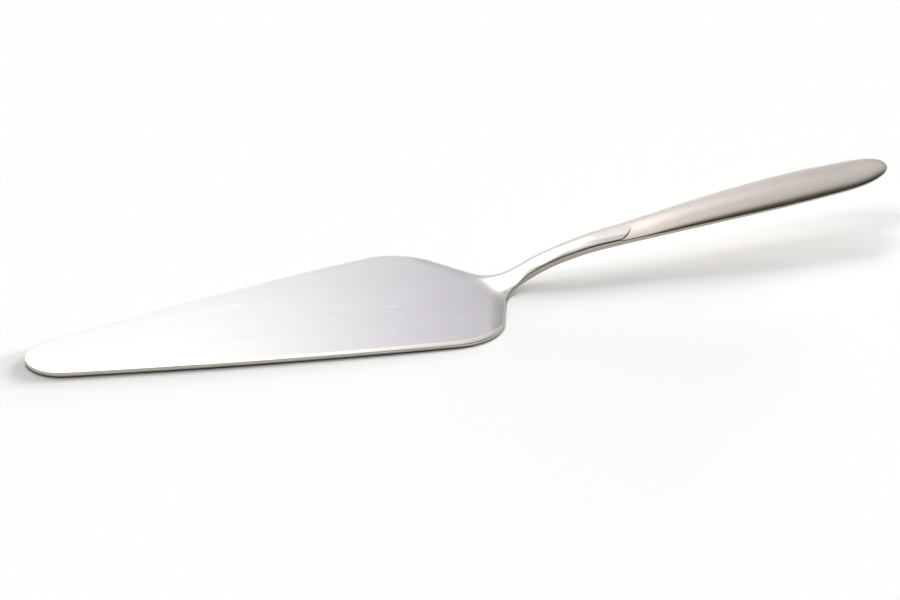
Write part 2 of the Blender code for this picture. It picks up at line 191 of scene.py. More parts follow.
def grip_outline(start):
    """Points from the neck's root to the handle's end, along one side."""
    widest = Vector((POINT_APEX + WIDEST_AT * HANDLE_LENGTH, HANDLE_WIDTH / 2))
    end = Vector((HANDLE_END, 0))
    swell, tail = widest.x - start.x, end.x - widest.x
    body = (start, start + Vector((SWELL_PULLS[0] * swell, 0)),
            widest - Vector((SWELL_PULLS[1] * swell, 0)), widest)
    cap = (widest, widest + Vector((CAP_PULLS[0] * tail, 0)),
           end + Vector((0, CAP_PULLS[1] * widest.y)), end)
    curves = (interpolate_bezier(*body, SWELL_STEPS), interpolate_bezier(*cap, CAP_STEPS))
    return [Vector(p[:2]) for curve in curves for p in curve[1:]]


outline += grip_outline(outline[-1])
outline_x = np.array([p.x for p in outline])
outline_w = np.array([max(p.y, 0.0) for p in outline])


def half_width(x):
    return float(np.interp(x, outline_x, outline_w))


print(len(outline), "outline points, widest", round(2 * outline_w.max(), 1), "mm")

# %% [markdown]
# ## The side view
#
# Seen from the side, the neck leaves the table in an S-curve and the handle climbs
# slowly. Each table below says how high something is at some shares of the way from
# the crease at the neck's root (0) to the handle's end (1): RISE as a share of the
# whole rise, BAND as a share of the sheet, and the rest as shares of the half width.

# %% Heights along the side
RISE = (
    (-0.05, 0), (-0.01, 0), (0.009, 0.0009), (0.018, 0.0045), (0.037, 0.024), (0.079, 0.120),
    (0.115, 0.218), (0.150, 0.295), (0.186, 0.355), (0.221, 0.402), (0.292, 0.467),
    (0.363, 0.521), (0.504, 0.629), (0.788, 0.817), (0.92, 0.897), (1, 0.988))
BAND = (
    (-0.05, 0.633), (0, 0.633), (0.04, 0.90), (0.079, 1.20), (0.150, 1.13), (0.292, 0.87),
    (0.363, 0.74), (0.504, 0.63), (0.788, 0.47), (1, 0.43))
NECK_CROWN = (
    (-0.05, 0.155), (0, 0.155), (0.037, 0.21), (0.079, 0.28), (0.243, 0.27), (0.3, 0.27),
    (0.35, 0.29))
HANDLE_CROWN = (
    (0.26, 0.08), (0.335, 0.11), (0.39, 0.18), (0.434, 0.21), (0.504, 0.225), (0.646, 0.24),
    (1, 0.24))
BELLY = (
    (0, 0), (0.01, 0), (0.03, 0.005), (0.079, 0.08), (0.186, 0.18), (0.335, 0.25),
    (0.504, 0.23), (0.9, 0.18), (1, 0.1))
print("rise of the handle is told at", len(RISE), "places")

# %% [markdown]
# ## Fair curves
#
# The tables are drawn as smooth curves, each piece a cubic between two rows, and
# then faired twice with a running mean. Steel shows every kink as a bend in its
# reflections, so a curve that only looks smooth as a line isn't smooth enough.

# %% Faired curves
PROFILE_STEP = 0.05
PROFILE_MARGIN = 10
FAIRING = 1.5
FAIRING_PASSES = 2

profile_x = np.arange(CREASE - PROFILE_MARGIN, HANDLE_END + PROFILE_MARGIN, PROFILE_STEP)


def faired(table):
    """A table drawn as a smooth curve over profile_x, then faired."""
    shares = np.array([row[0] for row in table])
    values = np.array([row[1] for row in table])
    slopes = np.gradient(values, shares)
    share = np.clip((profile_x - CREASE) / (HANDLE_END - CREASE), shares[0], shares[-1])
    i = np.clip(np.searchsorted(shares, share) - 1, 0, len(shares) - 2)
    span = shares[i + 1] - shares[i]
    t = (share - shares[i]) / span
    drawn = values[i] * (1 + 2 * t) * (1 - t) ** 2 + values[i + 1] * t * t * (3 - 2 * t)
    drawn += span * (slopes[i] * t * (1 - t) ** 2 + slopes[i + 1] * t * t * (t - 1))
    count = int(FAIRING / PROFILE_STEP) | 1
    for _ in range(FAIRING_PASSES):
        padded = np.pad(drawn, count // 2, mode="edge")
        drawn = np.convolve(padded, np.ones(count) / count, mode="valid")
    return drawn


def at(curve, x):
    return float(np.interp(x, profile_x, curve))


rise = HANDLE_RISE * faired(RISE)
band = SHEET * faired(BAND)
neck_crown, handle_crown, belly = faired(NECK_CROWN), faired(HANDLE_CROWN), faired(BELLY)
print("neck's pointed tip is", round(at(rise, POINT_APEX), 1), "mm above the table")

# %% [markdown]
# ## Skins from a grid
#
# Each piece is a skin stretched along the server. A grid already has its faces in
# order, so one create_grid operator makes them, and each of its corners is then put
# in its place on the real surface. One half is made, and the mirror operator makes
# the other, as the server is the same on both sides.

# %% Grid helpers
WELD = 0.0005
SLIVER = 0.0003


def half_skin(stations, ring, finish):
    """A grid with one row of corners per station, each row placed by ring(station).

    Each face takes the material that finish(station, row) numbers.
    """
    rows = [ring(station) for station in stations]
    along, round_it = len(rows) - 1, len(rows[0]) - 1
    bm = bmesh.new()
    bmesh.ops.create_grid(bm, x_segments=along, y_segments=round_it, size=0.5)
    for face in bm.faces:
        middle = face.calc_center_median()
        i, j = int((middle.x + 0.5) * along), int((middle.y + 0.5) * round_it)
        face.material_index = finish(i, j)
    for corner in bm.verts:
        i, j = round((corner.co.x + 0.5) * along), round((corner.co.y + 0.5) * round_it)
        corner.co = rows[i][j]
    return bm


def mirrored(bm):
    """Add the other half and join the two along the middle."""
    bmesh.ops.remove_doubles(bm, verts=bm.verts, dist=WELD)
    whole = bm.verts[:] + bm.edges[:] + bm.faces[:]
    bmesh.ops.mirror(bm, geom=whole, axis="Y", merge_dist=WELD)
    bmesh.ops.dissolve_degenerate(bm, dist=SLIVER, edges=bm.edges)


print("halves are joined to within", WELD, "mm")

# %% [markdown]
# ## Finishing a piece
#
# A finished piece is turned to metres, with its place in its mesh and its object at
# the origin. Its edges of less than 40 degrees are shaded smooth, so that only real
# corners stay sharp. It rides on the part's one body and replaces its CAD nodes.

# %% Finish a piece
SHARP_FROM = math.radians(40)


def finished(bm, name, *nodes):
    """Make the piece in metres, let it ride on the body and stand for its CAD nodes."""
    bmesh.ops.triangulate(bm, faces=[f for f in bm.faces if len(f.verts) > 4])
    bmesh.ops.recalc_face_normals(bm, faces=bm.faces)
    bm.transform(TO_PART)
    mesh = bpy.data.meshes.new(name)
    bm.to_mesh(mesh)
    open_edges = sum(not e.is_manifold for e in bm.edges)
    bm.free()
    mesh.shade_smooth()
    mesh.set_sharp_from_angle(angle=SHARP_FROM)
    piece = bpy.data.objects.new(name, mesh)
    bpy.context.scene.collection.objects.link(piece)
    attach(piece, "root")
    if nodes:
        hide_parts(*nodes)
    print(name, len(mesh.polygons), "faces,", open_edges, "open edges")
    return piece


# %% [markdown]
# ## Heights of the blade and neck
#
# The blade was blanked from sheet. Its upper edge rolls down, hardly at the tip and
# widely at the heel, so that it slides under a slice. The neck is a bar with an upright
# side band and a crowned top. Towards its end the crown gets steep shoulders.
#
# Roll and crown are one surface, whose shape blends from one to the other along the
# server. Two surfaces that only meet would show a line in the reflections.

# %% Heights of the top and the underside
TIP_ROLL_DROP = 0.05
HEEL_ROLL_DROP = 0.55
CREASE_BLEND = (CREASE - 5, CREASE + 5)
ROLL_TO_CROWN = (CREASE - 30, CREASE - 10)
TO_SHOULDERS = (POINT_BASE - 17, POINT_BASE - 1)
ROLL_BEND, CROWN_BEND, POINT_BEND = 1.5, 2.0, 2.5
CROWN_SHOULDER, POINT_SHOULDER = 1.0, 1.9

neck_half = NECK_WIDTH / 2


def blend(x, start, end, low, high):
    """A value that goes from low to high between two places."""
    share = min(max((x - start) / (end - start), 0.0), 1.0)
    return low + (high - low) * share * share * (3 - 2 * share)


def crown_at(x):
    """How far the top falls from its level middle to its edge."""
    share = min(x / BLADE_LENGTH, 1.0)
    on_blade = TIP_ROLL_DROP + (HEEL_ROLL_DROP - TIP_ROLL_DROP) * share ** 3
    if x < CREASE_BLEND[0]:
        return on_blade
    return blend(x, *CREASE_BLEND, on_blade, neck_half * at(neck_crown, x))


def edge_at(x):
    """Height of the band's top, where the crown or the roll begins."""
    level = blend(x, *CREASE_BLEND, SHEET, at(band, x) + neck_half * at(neck_crown, x))
    return at(rise, x) + level - crown_at(x)


def forging_top(x, share):
    """Height of the top at a share of the way from the edge to where it is level."""
    bend = blend(x, *ROLL_TO_CROWN, ROLL_BEND, CROWN_BEND)
    bend += blend(x, *TO_SHOULDERS, 0.0, POINT_BEND - CROWN_BEND)
    shoulder = blend(x, *TO_SHOULDERS, CROWN_SHOULDER, POINT_SHOULDER)
    level = min(max(share, 0.0), 1.0)
    return edge_at(x) + crown_at(x) * (1 - (1 - level) ** bend) ** (1 / shoulder)


def underside(x, y, width):
    """Height of the rounded underside."""
    return at(rise, x) - width * at(belly, x) * (1 - (y / width) ** 2 if width else 0)


print("heel's edge lies", round(crown_at(CREASE_BLEND[0]), 2), "mm under the blade's face")

# %% [markdown]
# ## The pointed tip
#
# The neck's top ends in a pointed arch that stands proud of the handle, like the
# arch of a church window: two arcs that lean together. The handle's mouth is cut to
# the same two arcs with a little more radius, so the two always fit.

# %% The pointed arch
POINT_BULGE = 0.55

point_half_width = half_width(POINT_BASE)
chord = math.hypot(POINT_LENGTH, point_half_width)
point_radius = (chord ** 2 / 4 + POINT_BULGE ** 2) / (2 * POINT_BULGE)
to_centre = (point_radius - POINT_BULGE) / chord
point_centre = Vector((POINT_BASE + POINT_LENGTH / 2 - point_half_width * to_centre,
                       point_half_width / 2 - POINT_LENGTH * to_centre))


def point_at(x, clearance=0.0):
    """Half width of the pointed arch, which is made of two arcs."""
    reach = (point_radius + clearance) ** 2 - (x - point_centre.x) ** 2
    return point_centre.y + math.sqrt(reach) if reach > 0 else 0.0


print("arcs of the pointed tip have a radius of", round(point_radius, 1), "mm")

# %% [markdown]
# ## Sections of the blade and neck
#
# A section runs from the middle of the underside, round the softened lower edge, up
# the side and over the bevel and the roll to the middle of the top. The bevel is a
# narrow band that was ground along the sides and fades out round the heel. The rows
# of the top follow the outline inwards, so that the line where the roll begins stays
# as clean as on the real blade, and they crowd together at the edge, where the
# surface turns most.

# %% Lower half of a section
LOWER_ROUND = 0.45
UNDERSIDE_ROWS, LOWER_ROUND_ROWS = 12, 6


def lower_half(x, width, full):
    """The underside from its middle outwards and the softened lower edge."""
    foot = min(LOWER_ROUND, width / 2)
    flat = width - foot
    base = underside(x, flat, full)
    ring = []
    for k in range(UNDERSIDE_ROWS):
        y = flat * k / UNDERSIDE_ROWS
        ring.append((x, y, underside(x, y, full)))
    for k in range(LOWER_ROUND_ROWS):
        turn = math.pi / 2 * k / (LOWER_ROUND_ROWS - 1)
        ring.append((x, flat + foot * math.sin(turn), base + foot * (1 - math.cos(turn))))
    return ring, base + foot


print("lower edge is softened by", LOWER_ROUND, "mm")

# %% Widths of the bevel and the roll
TIP_BEVEL, FLANK_BEVEL, HEEL_BEVEL = 0.5, 1.7, 0.4
BEVEL_TURNS = (math.radians(30), math.radians(58))   # where the bevel fades, by its facing
FLANK_ROLL = 1.15                                    # as a share of the bevel there
HEEL_ROLL = 4.4
NECK_SPREAD = 6                                      # length over which the roll fills the neck


def edge_widths(x, inward):
    """Widths of the ground bevel and of the whole rolled edge, by the way the edge faces."""
    if x > CREASE:
        return HEEL_BEVEL, blend(x, CREASE, CREASE + NECK_SPREAD, HEEL_ROLL, neck_half)
    on_flank = TIP_BEVEL + (FLANK_BEVEL - TIP_BEVEL) * min(2 * x / BLADE_LENGTH, 1.0)
    turn = math.atan2(-inward.x, -inward.y)
    bevel = blend(turn, *BEVEL_TURNS, on_flank, HEEL_BEVEL)
    return bevel, blend(turn, *BEVEL_TURNS, FLANK_ROLL * on_flank, HEEL_ROLL)


print("bevel is", FLANK_BEVEL, "mm wide on the flank,", HEEL_BEVEL, "mm on the heel")

# %% Upper half of a section
UPPER_ROUND = 0.12
NECK_BEVEL = 0.1                     # as a share of the half width
CROWDING = 1.5                       # how much the rows crowd at the edge
BEVEL_ROWS, ROLL_ROWS, FLAT_ROWS = 10, 16, 10
TOUCH = 0.001

root_end = next(p.x for p in outline if p.x > CREASE and p.y < neck_half + TOUCH)


def rounding(share):
    """A quarter round, from 0 at its foot to 1 where it levels out."""
    level = min(max(share, 0.0), 1.0)
    return math.sqrt(1 - (1 - level) ** 2)


def upper_half(x, width, full, inward):
    """The bevel and the roll from the edge inwards, then level to the middle."""
    bevel, roll = edge_widths(x, inward)
    past_root = x > root_end
    if past_root:
        bevel, roll = NECK_BEVEL * full, full
    distances = [bevel * (k / BEVEL_ROWS) ** CROWDING for k in range(BEVEL_ROWS + 1)]
    distances += [bevel + (roll - bevel) * k / ROLL_ROWS for k in range(1, ROLL_ROWS + 1)]
    top = []
    for distance in distances:
        distance *= min(width / roll, 1.0)
        at_x, at_y = x + inward.x * distance, width + inward.y * distance
        z = forging_top(at_x, (distance + (full - width if past_root else 0.0)) / roll)
        z -= UPPER_ROUND * (1 - rounding(distance / UPPER_ROUND))
        top.append((at_x, max(at_y, 0.0), z))
    at_x, at_y = top[-1][:2]
    for k in range(1, FLAT_ROWS + 1):
        top.append((at_x, at_y * (1 - k / FLAT_ROWS), top[-1][2]))
    return top


print("neck is straight from", round(root_end, 1), "mm")

# %% A whole section
SIDE_ROWS = 4


def forging_ring(place):
    """Half a section of the blade or neck, from its underside round to its top."""
    spot, inward = place
    x, width, full = spot.x, spot.y, half_width(spot.x)
    ring, low = lower_half(x, width, full)
    top = upper_half(x, width, full, inward)
    edge = top[0][2]
    side = [(x, width, low + (edge - low) * k / SIDE_ROWS) for k in range(1, SIDE_ROWS)]
    return ring + side + top


first_side = UNDERSIDE_ROWS
last_side = UNDERSIDE_ROWS + LOWER_ROUND_ROWS - 1 + SIDE_ROWS
print("side takes rows", first_side, "to", last_side)

# %% [markdown]
# ## Blade, neck and tang
#
# The sections are strung along the outline and end in the pointed arch. Each face
# is given the finish that its place on the real blade has: polished on top, ground
# on the sides, and fine ground on the bevel. The tang is the plain bar, still part
# of the same forging, that the cement holds inside the handle.

# %% Places along the blade and neck
POINT_STATIONS = 30
POINT_LEAD = 0.1

straight_in = Vector((0, -1))


def inward_at(index):
    """Direction from an outline point straight into the blade."""
    before, after = outline[max(index - 1, 0)], outline[index + 1]
    along = (after - before).normalized() if index else Vector((0, 1))
    return Vector((along.y, -along.x))


places = [(point, straight_in if point.x > root_end else inward_at(i))
          for i, point in enumerate(outline[:-1]) if point.x < POINT_BASE - POINT_LEAD]
for turn in np.linspace(0, math.pi / 2, POINT_STATIONS):
    x = POINT_BASE + POINT_LENGTH * math.sin(turn)
    y = 0.0 if x > POINT_APEX - TOUCH else min(half_width(x), point_at(x))
    places.append((Vector((x, y)), straight_in))
crease_place = next(i for i, place in enumerate(places) if place[0].x > CREASE)
print(len(places), "places, the neck begins at place", crease_place)

# %% Blade and neck
POLISHED, GROUND, FINE_GROUND, BELT_GROUND = range(4)


def forging_finish(i, j):
    """Ground sides, a finer ground bevel round the blade, and polish elsewhere."""
    on_blade = i < crease_place
    if first_side <= j < last_side:
        return BELT_GROUND if on_blade else GROUND
    return FINE_GROUND if last_side <= j < last_side + BEVEL_ROWS and on_blade else POLISHED


forging = half_skin(places, forging_ring, forging_finish)
mirrored(forging)
print("blade and neck have", len(forging.faces), "faces")

# %% Tang
TANG_SIZE = (45, 5, 1)
TANG_MIDDLE = POINT_APEX + 17.5
TANG_LIFT = 0.2
TANG_RUN = 40                        # length over which its slope is taken

tang = bmesh.ops.create_cube(forging, size=1.0)["verts"]
tang_place = Vector((TANG_MIDDLE, 0, at(rise, TANG_MIDDLE) + TANG_LIFT))
climb = (at(rise, POINT_APEX + TANG_RUN) - at(rise, POINT_APEX)) / TANG_RUN
bmesh.ops.scale(forging, vec=TANG_SIZE, verts=tang)
bmesh.ops.rotate(forging, matrix=Matrix.Rotation(-math.atan(climb), 3, "Y"), verts=tang)
bmesh.ops.translate(forging, vec=tang_place, verts=tang)
blade = finished(forging, "blade_and_neck_forging", "blade_and_neck")

# %% [markdown]
# ## Sections of the handle
#
# The handle is hollow, to be light: two pressed shells of thin sheet, brazed edge to
# edge. Their mouth is cut to the pointed arch, and a close fit leaves only a hairline
# round it. A fine gap under the upper shell's rim is the seam that the photograph
# shows as a dark line.

# %% Sections of the upper shell
MOUTH_CLEARANCE = 0.04
SEAM_ABOVE_BAND = 0.05
HANDLE_SHOULDER = 0.77
CROWN_ROWS = 30


def mouth_at(x):
    """Half width of the mouth, nothing beyond the pointed tip."""
    return max(point_at(x, MOUTH_CLEARANCE), 0.0)


def handle_top(x, y, width):
    """Height of the upper shell, whose crown falls away evenly and then steeply."""
    level = min(max((width - y) / width, 0.0), 1.0) if width else 1.0
    crown = (1 - (1 - level) ** 2) ** HANDLE_SHOULDER
    return at(rise, x) + at(band, x) + width * at(handle_crown, x) * crown


def upper_ring(x):
    """Half a section of the upper shell, from its seam in to the middle or the mouth."""
    width = half_width(x)
    reach = max(width - mouth_at(x), 0.0)
    inward = [reach * (1 - math.cos(math.pi / 2 * k / CROWN_ROWS)) for k in range(CROWN_ROWS + 1)]
    return [(x, width - d, handle_top(x, width - d, width) + SEAM_ABOVE_BAND) for d in inward]


print("mouth fits the pointed tip to", MOUTH_CLEARANCE, "mm")

# %% Sections of the lower shell
SEAM_GAP = 0.26
BAND_ROWS, EDGE_ROWS, BELLY_ROWS = 4, 5, 18


def lower_ring(x):
    """Half a section of the lower shell, from its seam down and round to the middle."""
    width = half_width(x)
    foot = min(LOWER_ROUND, width / 2)
    flat, limit = width - foot, mouth_at(x)
    base = underside(x, flat, width)
    head = at(rise, x) + at(band, x) + SEAM_ABOVE_BAND - SEAM_GAP
    ring = [(x, width, head + (base + foot - head) * k / BAND_ROWS) for k in range(BAND_ROWS + 1)]
    for k in range(1, EDGE_ROWS + 1):
        turn = math.pi / 2 * k / EDGE_ROWS
        ring.append((x, flat + foot * math.cos(turn), base + foot * (1 - math.sin(turn))))
    for k in range(1, BELLY_ROWS + 1):
        y = max(flat * (1 - k / BELLY_ROWS), min(limit, flat))
        ring.append((x, y, underside(x, y, width)))
    return [(x, max(y, limit), z) for x, y, z in ring]


print("seam gap is", SEAM_GAP, "mm")

# %% [markdown]
# ## Handle shells
#
# A second skin one wall further in turns each skin into a shell. It thins towards the
# handle's end and the rim of the mouth, where a full wall would come out on the far
# side. The Solidify modifier would keep one thickness there and cross itself.

# %% Handle shells
END_WALL, END_GAIN = 0.05, 0.2       # wall at the end, and its growth per mm from there
RIM_WALL, RIM_GAIN = 0.02, 0.9       # wall at the rim, and its growth per mm of width
MOUTH_STATIONS = 60
MOUTH_STEP = 0.005
MOUTH_END = POINT_APEX + 1
BODY_START = POINT_APEX + 1.2
SATIN = 0                            # its number on the shells, where ground is 1 too


def give_wall(bm):
    """Add a second skin one wall inside the first and join the two along the rim."""
    bmesh.ops.recalc_face_normals(bm, faces=bm.faces)
    bm.normal_update()
    rim = [e for e in bm.edges if e.is_boundary]
    copied = bmesh.ops.duplicate(bm, geom=bm.verts[:] + bm.edges[:] + bm.faces[:])
    partner = copied["vert_map"]
    inner_faces = [f for f in copied["geom"] if isinstance(f, bmesh.types.BMFace)]
    inner = {v for f in inner_faces for v in f.verts}
    for v in inner:
        at_end = END_WALL + END_GAIN * (HANDLE_END - v.co.x)
        at_rim = RIM_WALL + RIM_GAIN * (half_width(v.co.x) - mouth_at(v.co.x))
        v.co -= v.normal * min(HANDLE_WALL, at_end, at_rim)
    bmesh.ops.reverse_faces(bm, faces=inner_faces)
    for edge in rim:
        a, b = edge.verts
        bm.faces.new((a, b, partner[b], partner[a]))


mouth_start = next(x for x in np.arange(POINT_BASE, POINT_APEX, MOUTH_STEP)
                   if half_width(x) > mouth_at(x))
near_mouth = list(np.linspace(mouth_start, MOUTH_END, MOUTH_STATIONS))
handle_stations = near_mouth + [x for x in outline_x if x > BODY_START]
halves = (("upper", upper_ring, 0), ("lower", lower_ring, BAND_ROWS + EDGE_ROWS))
shells = []
for name, ring, ground_rows in halves:
    skin = half_skin(handle_stations, ring, lambda i, j: GROUND if j < ground_rows else SATIN)
    mirrored(skin)
    bmesh.ops.recalc_face_normals(skin, faces=skin.faces)
    give_wall(skin)
    shells.append(finished(skin, "handle_" + name + "_skin", "handle_" + name + "_shell"))

# %% [markdown]
# ## Colours and nodes
#
# A colour is written as the sRGB hex value that an eye would pick from a swatch, and
# one function turns it to the linear value that a shader works with. One function
# adds any node with its settings, values and links. A Mix node has several inputs of
# one name, so they go by number: 0 is the share, 4 and 5 are the two vectors, 6 and 7
# the two colours.

# %% Material helpers
def linear(hex_colour):
    """Turn an sRGB hex value to the linear colour that the shader needs."""
    values = [int(hex_colour[i:i + 2], 16) / 255 for i in (0, 2, 4)]
    return [v / 12.92 if v <= 0.04045 else ((v + 0.055) / 1.055) ** 2.4 for v in values] + [1.0]


def add(tree, kind, settings=None, inputs=None, links=None):
    """Add a node with its settings, its input values and the links into it."""
    node = tree.nodes.new(kind)
    for key, value in (settings or {}).items():
        setattr(node, key, value)
    for key, value in (inputs or {}).items():
        node.inputs[key].default_value = value
    for key, source in (links or {}).items():
        tree.links.new(source, node.inputs[key])
    return node


def new_material(name, hex_colour, roughness, metallic):
    """A material and its shader, with one colour and roughness all over."""
    material = bpy.data.materials.new(name)
    material.use_nodes = True
    shader = material.node_tree.nodes["Principled BSDF"]
    shader.inputs["Base Color"].default_value = linear(hex_colour)
    shader.inputs["Roughness"].default_value = roughness
    shader.inputs["Metallic"].default_value = metallic
    return material, shader


print("mid grey 808080 is", round(linear("808080")[0], 3), "in linear light")

# %% [markdown]
# ## Hairline scratches
#
# Use leaves a few fine, bright, slightly bent scratches on polished steel. The
# borders of long cells make such lines, a noise bends them, and a second noise keeps
# them only in a few patches, because scratches come singly. Painting them one by one
# would take longer and wouldn't carry over to the other pieces.

# %% Hairline scratches
def hairlines(tree, place):
    """How much of a scratch there is at each place, from 0 to 1."""
    warp = add(tree, "ShaderNodeTexNoise", inputs={"Scale": 60.0, "Detail": 2.0},
               links={"Vector": place})
    # a shift of up to 4 mm bends the lines
    bent = add(tree, "ShaderNodeMix", {"data_type": "VECTOR"}, {0: 0.004},
               {4: place, 5: warp.outputs["Color"]})
    # cells of 17 mm along the blade by 3 mm across; the turn only picks the part of
    # the pattern that falls on the server
    turned = add(tree, "ShaderNodeMapping",
                 inputs={"Rotation": (0, 0, 0.45), "Scale": (60, 300, 60)},
                 links={"Vector": bent.outputs[1]})
    cells = add(tree, "ShaderNodeTexVoronoi", {"feature": "DISTANCE_TO_EDGE"}, {"Scale": 1.0},
                {"Vector": turned.outputs["Vector"]})
    # a line fades out 0.04 mm from a cell's border, as a real hairline does
    line = add(tree, "ShaderNodeMapRange",
               inputs={"From Min": 0.0, "From Max": 0.012, "To Min": 1.0, "To Max": 0.0},
               links={"Value": cells.outputs["Distance"]})
    # patches of about 7 mm, the length of a scratch
    patches = add(tree, "ShaderNodeTexNoise", inputs={"Scale": 140.0, "Detail": 1.0},
                  links={"Vector": place})
    kept = add(tree, "ShaderNodeMapRange", inputs={"From Min": 0.63, "From Max": 0.65},
               links={"Value": patches.outputs["Fac"]})
    scratch = add(tree, "ShaderNodeMath", {"operation": "MULTIPLY"},
                  links={0: line.outputs[0], 1: kept.outputs[0]})
    return scratch.outputs[0]


print("scratches: cells of", round(1000 / 60), "by", round(1000 / 300), "mm")

# %% [markdown]
# ## Stainless steel
#
# The server is 18/8 stainless steel, finished in five ways. Each way leaves the same
# traces in its own strength: streaks along the length from the belt or the mop, a
# very slight waviness from forging and pressing, which makes reflections swim, a
# cloudiness from fingers and washing, and hairlines. So one function makes them all.

# %% Tone of the steel
CLOUD_TONE, CLOUD_SHARE = "5A5650", 0.04
SCRATCH_TONE, SCRATCH_SHARE = "FAF9F7", 0.3
NECK_FROM, NECK_TO = 0.049, 0.062    # metres along the part, where the blade turns to neck


def tone_of(tree, place, waves, hex_colour, neck_sheen_colour):
    """A little cloudy, a lighter colour on the neck as painted sheen where one is given, bright in
    a scratch.
    """
    clean = add(tree, "ShaderNodeMix", {"data_type": "RGBA"},
                # painted sheen: the neck takes a lighter tone than the blade, for its brighter
                # reflection
                {6: linear(hex_colour), 7: linear(neck_sheen_colour or hex_colour)})
    if neck_sheen_colour:
        split = add(tree, "ShaderNodeSeparateXYZ", links={"Vector": place})
        past = add(tree, "ShaderNodeMapRange", {"interpolation_type": "SMOOTHSTEP"},
                   {"From Min": NECK_FROM, "From Max": NECK_TO}, {"Value": split.outputs["X"]})
        tree.links.new(past.outputs["Result"], clean.inputs[0])
    cloud = add(tree, "ShaderNodeMapRange",
                inputs={"From Min": 0.3, "From Max": 0.7, "To Min": 0.0, "To Max": CLOUD_SHARE},
                links={"Value": waves.outputs["Fac"]})
    cloudy = add(tree, "ShaderNodeMix", {"data_type": "RGBA"}, {7: linear(CLOUD_TONE)},
                 {0: cloud.outputs["Result"], 6: clean.outputs[2]})
    fresh = add(tree, "ShaderNodeMath", {"operation": "MULTIPLY"}, {1: SCRATCH_SHARE},
                {0: hairlines(tree, place)})
    tone = add(tree, "ShaderNodeMix", {"data_type": "RGBA"}, {7: linear(SCRATCH_TONE)},
               {0: fresh.outputs[0], 6: cloudy.outputs[2]})
    return tone.outputs[2]


print("neck is lighter from", round(1000 * NECK_TO + REST_POINT, 1), "mm behind the tip")

# %% Stainless steel
def stainless_steel(name, hex_colour, smooth, rough, streak_height, wave_height, neck_sheen_colour=None):
    """Steel with streaks along its length, slight waves, and hairline scratches."""
    material, shader = new_material(name, hex_colour, smooth, 1.0)
    tree = material.node_tree
    place = add(tree, "ShaderNodeTexCoord").outputs["Object"]
    # brush marks are about 0.03 mm wide, finer than a pixel, so they are drawn 0.6 mm
    # wide and 33 mm long
    along = add(tree, "ShaderNodeMapping", inputs={"Scale": (30, 1800, 1800)},
                links={"Vector": place})
    streaks = add(tree, "ShaderNodeTexNoise",
                  inputs={"Scale": 1.0, "Detail": 4.0, "Roughness": 0.6},
                  links={"Vector": along.outputs["Vector"]})
    # waves of about 83 by 11 mm
    broad = add(tree, "ShaderNodeMapping", inputs={"Scale": (12, 90, 90)},
                links={"Vector": place})
    waves = add(tree, "ShaderNodeTexNoise", inputs={"Scale": 1.0, "Detail": 2.0},
                links={"Vector": broad.outputs["Vector"]})
    rub = add(tree, "ShaderNodeMapRange",
              inputs={"From Min": 0.3, "From Max": 0.7, "To Min": smooth, "To Max": rough},
              links={"Value": streaks.outputs["Fac"]})
    tree.links.new(rub.outputs["Result"], shader.inputs["Roughness"])
    fine = add(tree, "ShaderNodeBump", inputs={"Strength": 1.0, "Distance": streak_height},
               links={"Height": streaks.outputs["Fac"]})
    coarse = add(tree, "ShaderNodeBump", inputs={"Strength": 1.0, "Distance": wave_height},
                 links={"Height": waves.outputs["Fac"], "Normal": fine.outputs["Normal"]})
    tree.links.new(coarse.outputs["Normal"], shader.inputs["Normal"])
    tone = tone_of(tree, place, waves, hex_colour, neck_sheen_colour)
    tree.links.new(tone, shader.inputs["Base Color"])
    return material


print("brush marks are drawn", round(1000 / 1800, 1), "mm wide")

# %% The five finishes
# polished on a mop and lightly brushed lengthwise: mirrors its surroundings, a little
# blurred. The neck is a shade lighter, a painted sheen for its brighter reflection.
brushed = stainless_steel("brushed_18_8_steel", "BFBDBE", smooth=0.10, rough=0.17,
                          streak_height=0.6e-6, wave_height=12e-6, neck_sheen_colour="DAD6D1")
# satin from a finer belt: reflections melt into one soft, warm sheen along the handle
satin = stainless_steel("satin_18_8_steel", "D8CFC8", smooth=0.20, rough=0.28,
                        streak_height=0.5e-6, wave_height=8e-6)
# ground sides of the neck and the lower shell: dull and darker, they hardly mirror
ground = stainless_steel("ground_18_8_steel", "BDB5AA", smooth=0.42, rough=0.55,
                         streak_height=0.6e-6, wave_height=10e-6)
# fine-ground bevel: between the polish and the ground sides, a soft bright rim
bevel_steel = stainless_steel("fine_ground_18_8_steel", "DDD7D4", smooth=0.28, rough=0.36,
                              streak_height=0.6e-6, wave_height=10e-6)
# belt-ground side of the blade: freshly cut metal, lighter than the neck's sides; shade is painted
# onto its lower corner further down
edge_steel = stainless_steel("belt_ground_18_8_steel", "DED6CB", smooth=0.42, rough=0.55,
                             streak_height=0.6e-6, wave_height=10e-6)
print("steels:", ", ".join(m.name for m in (brushed, satin, ground, bevel_steel, edge_steel)))

# %% [markdown]
# ## The blade's cut edge, with painted shade at its foot
#
# A fine dark line sets the blade off from the white table: the shade at the lower
# corner of the blade's side, which turns away from the light. That shade is painted
# into the side's tone, which darkens towards the table. A dark strip would be a piece
# that the real blade doesn't have, so the painted shade follows the height above the
# table.

# %% Painted shade on the lower corner of the blade
# painted shade: the side goes from a dark tone at the table to the steel's own tone higher up
SHADE_DARKEST_BELOW, SHADE_GONE_ABOVE = 0.15e-3, 0.95e-3     # metres above the table
PAINTED_SHADE_TONE = "3A3630"

